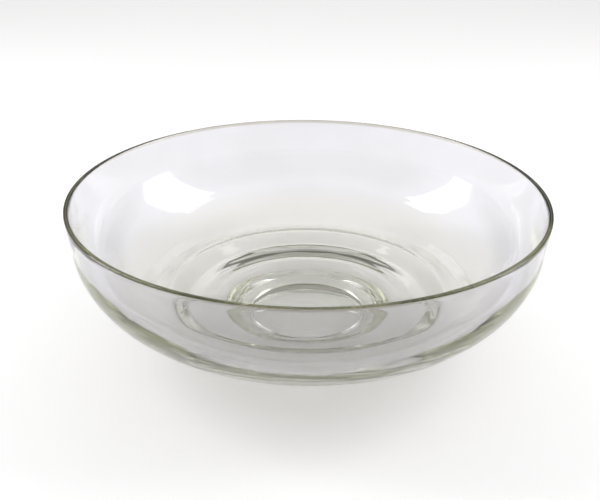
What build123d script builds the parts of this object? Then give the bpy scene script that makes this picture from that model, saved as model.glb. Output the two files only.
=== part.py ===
from build123d import *
import os
from math import cos, radians, sin, tan

# Clear glass bowl for floating candles: a wide shallow bowl whose floor is dished
# towards a round well in the middle, with a stepped disc under the floor and a low foot.
# One piece of glass, modelled as the eight regions of its turned section.
# Millimetres, +Z up, origin on the table under the middle of the foot.

# Bowl
rim_diameter = 304.8        # outside, across the rim
bowl_height = 101.6         # table to the top of the rim
rim_thickness = 3.0
rim_round = 1.4             # fire-polished edge
outer_lean = 5.7            # degrees off upright, outside of the wall
inner_lean = 5.8            # the same inside
floor_thickness = 4.5       # over the edge of the flat underside
floor_fall = 13.2           # degrees that the inside of the floor falls towards the well
bend_step = 4.4             # how much tighter the inside bend is than the outside one

# Disc under the floor
disc_diameter = 186.6       # across its top
disc_ledge = 0.7            # flat underside left bare outside the disc
disc_thickness = 7.0
disc_slant = 12.5           # how far the edge runs in from top to bottom
disc_edge_round = 6.5

# Foot under the disc, with a recess that leaves it standing on a ring
foot_diameter = 101.0       # at the table, before rounding
foot_height = 21.0          # table to the underside of the disc
foot_flare = 2.1            # how far the foot widens up to the disc
foot_root_round = 8.5
foot_edge_round = 5.0
foot_ring_width = 8.0       # table face from the recess to the foot's outside, before rounding
recess_depth = 5.6
recess_draft = 2.3          # how far the recess wall leans in
recess_round = 1.0

# Well, the round middle of the floor
well_diameter = 40.0        # across the corner of slope and middle, before rounding
well_round = 120.0

# Seams between the regions, clear of the rounds
seam_margin = 2.0
bend_seam_angle = 45.0      # lean of the outside where the bend is divided
heel_seam_angle = 16.5      # the same at the seam of floor and heel
well_floor_diameter = 60.0  # across the seam of the well's floor and wall

# Levels
floor_underside = foot_height + disc_thickness
floor_top = floor_underside + floor_thickness
foot_seam = recess_depth - recess_round - seam_margin

# Slopes, as rise over run
outer_run = tan(radians(outer_lean))
inner_run = tan(radians(inner_lean))
floor_rise = tan(radians(floor_fall))

# Bowl radii. The outside bends from the wall to the flat underside.
rim_radius = rim_diameter / 2
rim_inner_radius = rim_radius - rim_thickness
disc_radius = disc_diameter / 2
disc_lower_radius = disc_radius - disc_slant
flat_radius = disc_radius + disc_ledge
wall_corner = rim_radius - (bowl_height - floor_underside) * outer_run
outer_bend_run = wall_corner - flat_radius
outer_bend = outer_bend_run / tan(radians((90 - outer_lean) / 2))

# Inside corner where the lines of wall and floor cross, and the bend there
inner_corner_level = (floor_top + (rim_inner_radius - flat_radius - bowl_height * inner_run) * floor_rise) / (
    1 - inner_run * floor_rise
)
inner_corner = rim_inner_radius - (bowl_height - inner_corner_level) * inner_run
inner_bend = outer_bend - bend_step

# Well, foot and recess
well_radius = well_diameter / 2
well_level = floor_top - (flat_radius - well_radius) * floor_rise
foot_radius = foot_diameter / 2
foot_top_radius = foot_radius + foot_flare
recess_radius = foot_radius - foot_ring_width
recess_roof_radius = recess_radius - recess_draft

# Seams
bend_top = floor_underside + outer_bend_run * cos(radians(outer_lean))
bend_seam = floor_underside + outer_bend * (1 - cos(radians(bend_seam_angle)))
well_seam = foot_top_radius + foot_root_round + seam_margin
well_floor_seam = well_floor_diameter / 2
heel_seam = flat_radius + outer_bend * sin(radians(heel_seam_angle))

# Half section of the glass as corners: radius, height, rounding.
# It runs from the middle of the underside out to the rim and back down the inside.
corners = [
    (0, recess_depth, 0),
    (recess_roof_radius, recess_depth, recess_round),
    (recess_radius, 0, recess_round),
    (foot_radius, 0, foot_edge_round),
    (foot_top_radius, foot_height, foot_root_round),
    (disc_lower_radius, foot_height, disc_edge_round),
    (disc_radius, floor_underside, 0),
    (wall_corner, floor_underside, outer_bend),
    (rim_radius, bowl_height, rim_round),
    (rim_inner_radius, bowl_height, rim_round),
    (inner_corner, inner_corner_level, inner_bend),
    (well_radius, well_level, well_round),
    (0, well_level, 0),
]
outline = FilletPolyline(
    [(radius, level) for radius, level, rounding in corners],
    radius=[rounding for radius, level, rounding in corners],
    close=True,
)
section = make_face(outline)


def band(inside, outside, bottom, top):
    # Part of the half section between two radii and two heights
    window = Rectangle(outside - inside, top - bottom, align=(Align.MIN, Align.MIN))
    return section & Pos(inside, bottom) * window


def turned(half_section):
    # Half section turned round the bowl's axis
    return revolve(Plane.XZ * half_section, Axis.Z, 360)


pieces = {
    "rim_wall": turned(band(heel_seam, rim_radius, bend_top, bowl_height)),
    "bowl_shoulder": turned(band(heel_seam, rim_radius, bend_seam, bend_top)),
    "bowl_heel": turned(band(heel_seam, rim_radius, floor_underside, bend_seam)),
    "bowl_floor": turned(band(flat_radius, heel_seam, floor_underside, bowl_height)),
    "base_disc": turned(band(well_seam, flat_radius, foot_seam, bowl_height)),
    "well_wall": turned(band(well_floor_seam, well_seam, foot_seam, bowl_height)),
    "well_floor": turned(band(0, well_floor_seam, foot_seam, bowl_height)),
    "foot_ring": turned(band(0, well_seam, 0, foot_seam)),
}

os.makedirs("parts", exist_ok=True)
for name, piece in pieces.items():
    export_step(piece, f"parts/{name}.step")
    print(name, "volume", round(piece.volume), "mm3")
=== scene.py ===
import bpy
import bmesh
from math import ceil, pi, radians, tan
from mathutils import Matrix, Vector


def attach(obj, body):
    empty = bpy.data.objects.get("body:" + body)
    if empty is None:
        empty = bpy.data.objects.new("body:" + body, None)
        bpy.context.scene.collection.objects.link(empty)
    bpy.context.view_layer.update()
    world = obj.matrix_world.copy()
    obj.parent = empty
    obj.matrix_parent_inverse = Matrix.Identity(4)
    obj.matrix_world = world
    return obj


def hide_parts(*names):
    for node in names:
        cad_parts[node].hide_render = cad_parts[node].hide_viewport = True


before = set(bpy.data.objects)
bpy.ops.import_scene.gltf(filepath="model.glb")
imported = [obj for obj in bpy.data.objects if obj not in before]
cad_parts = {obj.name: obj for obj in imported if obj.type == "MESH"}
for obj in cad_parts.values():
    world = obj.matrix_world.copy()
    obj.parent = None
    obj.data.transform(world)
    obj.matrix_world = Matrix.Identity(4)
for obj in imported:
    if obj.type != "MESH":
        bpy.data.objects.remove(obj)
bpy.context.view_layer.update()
scene = bpy.context.scene
print("frame loaded,", len(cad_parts), "glass regions")

mm = 0.001


def finishMesh(bm, name):
    mesh = bpy.data.meshes.new(name)
    bm.to_mesh(mesh)
    bm.free()
    made = bpy.data.objects.new(name, mesh)
    scene.collection.objects.link(made)
    return made


def feed(links, socket, value):
    # Another node's output is linked, a plain number or colour is set
    if isinstance(value, bpy.types.NodeSocket):
        links.new(value, socket)
    else:
        socket.default_value = value


def combine(nodes, links, operation, *values):
    node = nodes.new("ShaderNodeMath")
    node.operation = operation
    for socket, value in zip(node.inputs, values):
        feed(links, socket, value)
    return node.outputs["Value"]


def softEdge(nodes, links, value, edge, most=1.0):
    # Nothing at the first number of the edge, the most at the second
    ramp = nodes.new("ShaderNodeMapRange")
    ramp.inputs["From Min"].default_value, ramp.inputs["From Max"].default_value = edge
    ramp.inputs["To Max"].default_value = most
    links.new(value, ramp.inputs["Value"])
    return ramp.outputs["Result"]


def blendTones(nodes, links, share, first, second):
    mix = nodes.new("ShaderNodeMix")
    mix.data_type = "RGBA"
    tones = [socket for socket in mix.inputs if socket.type == "RGBA"]
    for socket, value in zip([mix.inputs["Factor"]] + tones, [share, first, second]):
        feed(links, socket, value)
    return next(socket for socket in mix.outputs if socket.type == "RGBA")


# Glass bowl, in millimetres and degrees
glassBowl = {
    "rimAcross": 304.8,         # outside
    "height": 101.6,            # table to the top of the rim
    "rimThickness": 3.0,
    "rimRound": 1.4,            # fire-polished edge
    "outerLean": 5.7,           # off upright, outside of the wall
    "innerLean": 5.8,           # the same inside
    "floorThickness": 4.5,      # over the edge of the flat underside
    "floorFall": 13.2,          # slope of the inside of the floor towards the well
    "bendStep": 4.4,            # how much tighter the inside bend is than the outside one
    "discAcross": 186.6,        # disc under the floor, across its top
    "discLedge": 0.7,           # flat underside left bare outside the disc
    "discThickness": 7.0,
    "discSlant": 12.5,          # how far the edge runs in from top to bottom
    "discEdgeRound": 6.5,
    "footAcross": 101.0,        # at the table, before rounding
    "footHeight": 21.0,         # table to the underside of the disc
    "footFlare": 2.1,           # how far the foot widens up to the disc
    "footRootRound": 8.5,
    "footEdgeRound": 5.0,
    "footRingWidth": 8.0,       # table face from the recess to the foot's outside, before rounding
    "recessDepth": 5.6,
    "recessDraft": 2.3,         # how far the recess wall leans in
    "recessRound": 1.0,
    "wellAcross": 40.0,         # across the corner of slope and middle, before rounding
    "wellRound": 120.0,
    "arcStep": 1.8,             # longest side of a rounding
    "leastSides": 6,            # fewest sides of a rounding
    "runStep": 4.0,             # longest side of a straight run
    "turns": 288,               # sides round the bowl
    "mergeGap": 0.01,           # points nearer than this become one
}


def glassSection():
    # Half section as corners: radius, height, rounding.
    # It runs from the middle of the underside out to the rim and back down the inside.
    size = glassBowl
    underside = size["footHeight"] + size["discThickness"]
    floorTop = underside + size["floorThickness"]
    outerRun = tan(radians(size["outerLean"]))
    innerRun = tan(radians(size["innerLean"]))
    floorRise = tan(radians(size["floorFall"]))

    # Outside bend, from the wall to the flat underside
    rim = size["rimAcross"] / 2
    disc = size["discAcross"] / 2
    flat = disc + size["discLedge"]
    outerCorner = rim - (size["height"] - underside) * outerRun
    outerBend = (outerCorner - flat) / tan(radians((90 - size["outerLean"]) / 2))

    # Inside corner, where the lines of wall and floor cross
    rimInside = rim - size["rimThickness"]
    innerRise = (rimInside - flat - size["height"] * innerRun) * floorRise
    innerLevel = (floorTop + innerRise) / (1 - innerRun * floorRise)
    innerCorner = rimInside - (size["height"] - innerLevel) * innerRun

    well = size["wellAcross"] / 2
    wellLevel = floorTop - (flat - well) * floorRise
    foot = size["footAcross"] / 2
    recess = foot - size["footRingWidth"]
    return [
        (0, size["recessDepth"], 0),
        (recess - size["recessDraft"], size["recessDepth"], size["recessRound"]),
        (recess, 0, size["recessRound"]),
        (foot, 0, size["footEdgeRound"]),
        (foot + size["footFlare"], size["footHeight"], size["footRootRound"]),
        (disc - size["discSlant"], size["footHeight"], size["discEdgeRound"]),
        (disc, underside, 0),
        (outerCorner, underside, outerBend),
        (rim, size["height"], size["rimRound"]),
        (rimInside, size["height"], size["rimRound"]),
        (innerCorner, innerLevel, outerBend - size["bendStep"]),
        (well, wellLevel, size["wellRound"]),
        (0, wellLevel, 0),
    ]


def drawSection(bm):
    corners = glassSection()
    spots = [Vector((radius, 0, height)) for radius, height, rounding in corners]
    verts = [bm.verts.new(spot * mm) for spot in spots]
    for first, second in zip(verts, verts[1:]):
        bm.edges.new((first, second))
    for i, (radius, height, rounding) in enumerate(corners):
        if not rounding:
            continue
        turn = (spots[i] - spots[i - 1]).angle(spots[i + 1] - spots[i])
        sides = max(glassBowl["leastSides"], ceil(rounding * turn / glassBowl["arcStep"]))
        reach = rounding * tan(turn / 2)        # from the corner to the ends of its rounding
        bmesh.ops.bevel(bm, geom=[verts[i]], offset=reach * mm, offset_type="OFFSET", segments=sides,
                        profile=0.5, affect="VERTICES", material=-1)


def makeGlassBowl():
    bm = bmesh.new()
    drawSection(bm)
    for edge in bm.edges[:]:
        cuts = int(edge.calc_length() / (glassBowl["runStep"] * mm))
        if cuts:
            bmesh.ops.subdivide_edges(bm, edges=[edge], cuts=cuts)
    bmesh.ops.spin(bm, geom=bm.verts[:] + bm.edges[:], cent=(0, 0, 0), axis=(0, 0, 1), angle=2 * pi,
                   steps=glassBowl["turns"], use_merge=True)
    bmesh.ops.remove_doubles(bm, verts=bm.verts[:], dist=glassBowl["mergeGap"] * mm)
    bmesh.ops.recalc_face_normals(bm, faces=bm.faces[:])
    for face in bm.faces:
        face.smooth = True
    return finishMesh(bm, "glassBowl")


# Glass
clearGlass = {
    "ior": 1.5,
    "tint": (0.81, 0.818, 0.735, 1),            # what a long way through the glass leaves
    "tintDensity": 20.0,
    "floorTone": (0.990, 0.990, 0.970, 1),      # the floor, nearly clear, outside the painted shade of the bend
    "bendShadeTone": (0.815, 0.800, 0.767, 1),       # painted shade over the bend, darker and warmer than the foot below and the wall above
    "bendShadeHeight": (12.0 * mm, 28.0 * mm),       # soft edge from the floor's tone into the bend's painted shade
    "wallTone": (0.832, 0.829, 0.868, 1),       # the wall, lightly filmed
    "wallDull": (0.802, 0.796, 0.826, 1),       # the wall, where water has dried on it
    "wallHeight": (34.0 * mm, 52.0 * mm),
    "rimShadeTone": (0.52, 0.485, 0.43, 1),          # fire-polished edge, with painted shade darkening the rim line
    "rimShadeHeight": (99.2 * mm, 100.6 * mm),
    "filmScale": 13.0,
    "filmDetail": 5.0,
    "filmEdge": (0.38, 0.66),                   # noise where the dried film starts, and where it is full
    "smudgeScale": 8.0,
    "smudgeDetail": 3.0,
    "smudgeEdge": (0.50, 0.75),
    "smudgeRoughness": 0.02,
    "rippleScale": 38.0,                        # uneven hand finish, waves to a metre
    "rippleDetail": 1.0,
    "rippleHeight": 0.16 * mm,
    "ringScale": 42.0,                          # turning marks round the axis
    "ringDistortion": 1.5,
    "ringDetail": 1.0,
    "ringShare": 0.15,                          # height of the marks, as a part of the ripple's
}


def makeClearGlass():
    material = bpy.data.materials.new("clearGlass")
    material.use_nodes = True
    nodes, links = material.node_tree.nodes, material.node_tree.links
    shader = nodes["Principled BSDF"]
    shader.inputs["Transmission Weight"].default_value = 1.0
    shader.inputs["IOR"].default_value = clearGlass["ior"]
    absorb = nodes.new("ShaderNodeVolumeAbsorption")
    absorb.inputs["Color"].default_value = clearGlass["tint"]
    absorb.inputs["Density"].default_value = clearGlass["tintDensity"]
    links.new(absorb.outputs["Volume"], nodes["Material Output"].inputs["Volume"])
    place = nodes.new("ShaderNodeTexCoord")
    split = nodes.new("ShaderNodeSeparateXYZ")
    links.new(place.outputs["Object"], split.inputs["Vector"])

    def cloud(scale, detail):
        noise = nodes.new("ShaderNodeTexNoise")
        noise.inputs["Scale"].default_value = scale
        noise.inputs["Detail"].default_value = detail
        links.new(place.outputs["Object"], noise.inputs["Vector"])
        return noise.outputs["Fac"]

    def byHeight(heights, lowTone, highTone):
        share = softEdge(nodes, links, split.outputs["Z"], heights)
        return blendTones(nodes, links, share, lowTone, highTone)

    # Colour from the floor up
    film = nodes.new("ShaderNodeValToRGB")
    filmStart, filmFull = film.color_ramp.elements
    filmStart.position, filmFull.position = clearGlass["filmEdge"]
    filmStart.color = clearGlass["wallTone"]
    filmFull.color = clearGlass["wallDull"]
    links.new(cloud(clearGlass["filmScale"], clearGlass["filmDetail"]), film.inputs["Fac"])
    # Painted shade: from 12 mm up the glass turns to the darker, warmer bend tone
    bend = byHeight(clearGlass["bendShadeHeight"], clearGlass["floorTone"], clearGlass["bendShadeTone"])
    wall = byHeight(clearGlass["wallHeight"], bend, film.outputs["Color"])
    # Painted shade: the top of the rim darkened
    tone = byHeight(clearGlass["rimShadeHeight"], wall, clearGlass["rimShadeTone"])
    links.new(tone, shader.inputs["Base Color"])

    smudge = cloud(clearGlass["smudgeScale"], clearGlass["smudgeDetail"])
    roughness = softEdge(nodes, links, smudge, clearGlass["smudgeEdge"], clearGlass["smudgeRoughness"])
    links.new(roughness, shader.inputs["Roughness"])

    ripple = cloud(clearGlass["rippleScale"], clearGlass["rippleDetail"])
    rings = nodes.new("ShaderNodeTexWave")
    rings.wave_type = "RINGS"
    rings.rings_direction = "Z"
    rings.inputs["Scale"].default_value = clearGlass["ringScale"]
    rings.inputs["Distortion"].default_value = clearGlass["ringDistortion"]
    rings.inputs["Detail"].default_value = clearGlass["ringDetail"]
    links.new(place.outputs["Object"], rings.inputs["Vector"])
    height = combine(nodes, links, "MULTIPLY_ADD", rings.outputs["Fac"], clearGlass["ringShare"], ripple)
    bump = nodes.new("ShaderNodeBump")
    bump.inputs["Distance"].default_value = clearGlass["rippleHeight"]
    links.new(height, bump.inputs["Height"])
    links.new(bump.outputs["Normal"], shader.inputs["Normal"])
    return material


bowl = makeGlassBowl()
bowl.data.materials.append(makeClearGlass())
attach(bowl, "root")
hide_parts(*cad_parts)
print("glass bowl", len(bowl.data.polygons), "faces")

# Floor
paleFloor = {
    "size": 6.0,
    "drop": 0.2 * mm,       # below the foot, so that the two faces don't fight
    "colour": (0.92, 0.92, 0.92, 1),
    "roughness": 0.7,
    "specular": 0.1,
    "liftColour": (1, 1, 1, 1),
    "lift": 0.22,           # brings the open floor up to white
}


def seenRay(nodes, links):
    # One for what the camera sees, straight or by the glass, and nothing for light on its way elsewhere
    ray = nodes.new("ShaderNodeLightPath").outputs
    byGlass = combine(nodes, links, "MAXIMUM", ray["Is Glossy Ray"], ray["Is Transmission Ray"])
    seen = combine(nodes, links, "MAXIMUM", ray["Is Camera Ray"], byGlass)
    direct = combine(nodes, links, "LESS_THAN", ray["Diffuse Depth"], 1)
    return combine(nodes, links, "MULTIPLY", seen, direct)


def makeFloorPaint():
    material = bpy.data.materials.new("paleFloor")
    material.use_nodes = True
    nodes, links = material.node_tree.nodes, material.node_tree.links
    shader = nodes["Principled BSDF"]
    shader.inputs["Base Color"].default_value = paleFloor["colour"]
    shader.inputs["Roughness"].default_value = paleFloor["roughness"]
    shader.inputs["Specular IOR Level"].default_value = paleFloor["specular"]
    shader.inputs["Emission Color"].default_value = paleFloor["liftColour"]
    lift = combine(nodes, links, "MULTIPLY", seenRay(nodes, links), paleFloor["lift"])
    links.new(lift, shader.inputs["Emission Strength"])

    # Open from below, to show the foot
    side = nodes.new("ShaderNodeNewGeometry")
    clear = nodes.new("ShaderNodeBsdfTransparent")
    oneWay = nodes.new("ShaderNodeMixShader")
    sources = [side.outputs["Backfacing"], shader.outputs["BSDF"], clear.outputs["BSDF"]]
    for socket, source in zip(oneWay.inputs, sources):
        links.new(source, socket)
    links.new(oneWay.outputs["Shader"], nodes["Material Output"].inputs["Surface"])
    return material


def makePaleFloor():
    bm = bmesh.new()
    bmesh.ops.create_grid(bm, x_segments=1, y_segments=1, size=paleFloor["size"] / 2)
    bmesh.ops.translate(bm, verts=bm.verts[:], vec=(0, 0, -paleFloor["drop"]))
    return finishMesh(bm, "paleFloor")


floor = makePaleFloor()
floor.data.materials.append(makeFloorPaint())
print("floor laid")

# Studio
studio = {
    "surround": (1.0, 1.0, 1.03, 1),
    "unlit": [      # tone, and soft edges along the axes as parts of a unit direction
        {"tone": (0.38, 0.38, 0.36, 1), "X": (0.55, 0.15), "Z": (0.75, 0.88)},    # above, open on the right
        {"tone": (0.10, 0.10, 0.075, 1), "Y": (0.20, 0.40), "Z": (0.44, 0.28)},   # low behind the bowl
        {"tone": (0.28, 0.25, 0.21, 1), "Y": (-0.20, -0.45), "Z": (0.80, 0.65)},  # camera's side
    ],
    "lamps": {"softboxLeft": (-1.05, 0.32), "softboxRight": (1.05, 0.46)},      # place across, width
    "lampBack": 0.09,
    "lampUp": 0.62,
    "lampHeight": 1.20,
    "lampPower": 6.5,
    "lampAim": (0, 0, 0.10),
    "bounces": 48,      # light turns many times inside thick glass
}


def makeSurround():
    world = bpy.data.worlds.new("studio")
    scene.world = world
    world.use_nodes = True
    nodes, links = world.node_tree.nodes, world.node_tree.links
    place = nodes.new("ShaderNodeTexCoord")
    split = nodes.new("ShaderNodeSeparateXYZ")
    links.new(place.outputs["Generated"], split.inputs["Vector"])
    room = studio["surround"]
    for part in studio["unlit"]:
        edges = [softEdge(nodes, links, split.outputs[axis], part[axis]) for axis in "XYZ" if axis in part]
        share = combine(nodes, links, "MULTIPLY", *edges)
        room = blendTones(nodes, links, share, room, part["tone"])
    path = nodes.new("ShaderNodeLightPath")
    seen = blendTones(nodes, links, path.outputs["Is Camera Ray"], room, studio["surround"])
    links.new(seen, nodes["Background"].inputs["Color"])


def makeSoftbox(name, across, width):
    light = bpy.data.lights.new(name, "AREA")
    light.shape = "RECTANGLE"
    light.size = width
    light.size_y = studio["lampHeight"]
    light.energy = studio["lampPower"]
    lamp = bpy.data.objects.new(name, light)
    lamp.location = (across, studio["lampBack"], studio["lampUp"])
    aim = Vector(studio["lampAim"]) - lamp.location
    lamp.rotation_euler = aim.to_track_quat("-Z", "Y").to_euler()
    scene.collection.objects.link(lamp)


makeSurround()
for name, (across, width) in studio["lamps"].items():
    makeSoftbox(name, across, width)
scene.cycles.max_bounces = studio["bounces"]
scene.cycles.glossy_bounces = studio["bounces"]
scene.cycles.transmission_bounces = studio["bounces"]
scene.view_settings.view_transform = "Standard"
print("studio lit")

# Camera
camera = {
    "place": (0, -0.4877, 0.2963),
    "down": 26.0,           # degrees below level
    "roll": 0.68,
    "lens": 49.0,
    "sensor": 36.0,
    "shift": -0.0133,
}


def makeCamera():
    lens = bpy.data.cameras.new("camera")
    lens.sensor_width = camera["sensor"]
    lens.lens = camera["lens"]
    lens.shift_x = camera["shift"]
    viewer = bpy.data.objects.new("camera", lens)
    viewer.location = camera["place"]
    tilt = Matrix.Rotation(radians(90 - camera["down"]), 3, "X")
    roll = Matrix.Rotation(radians(camera["roll"]), 3, "Z")
    viewer.rotation_euler = (tilt @ roll).to_euler()
    scene.collection.objects.link(viewer)
    scene.camera = viewer


makeCamera()
print("camera set")
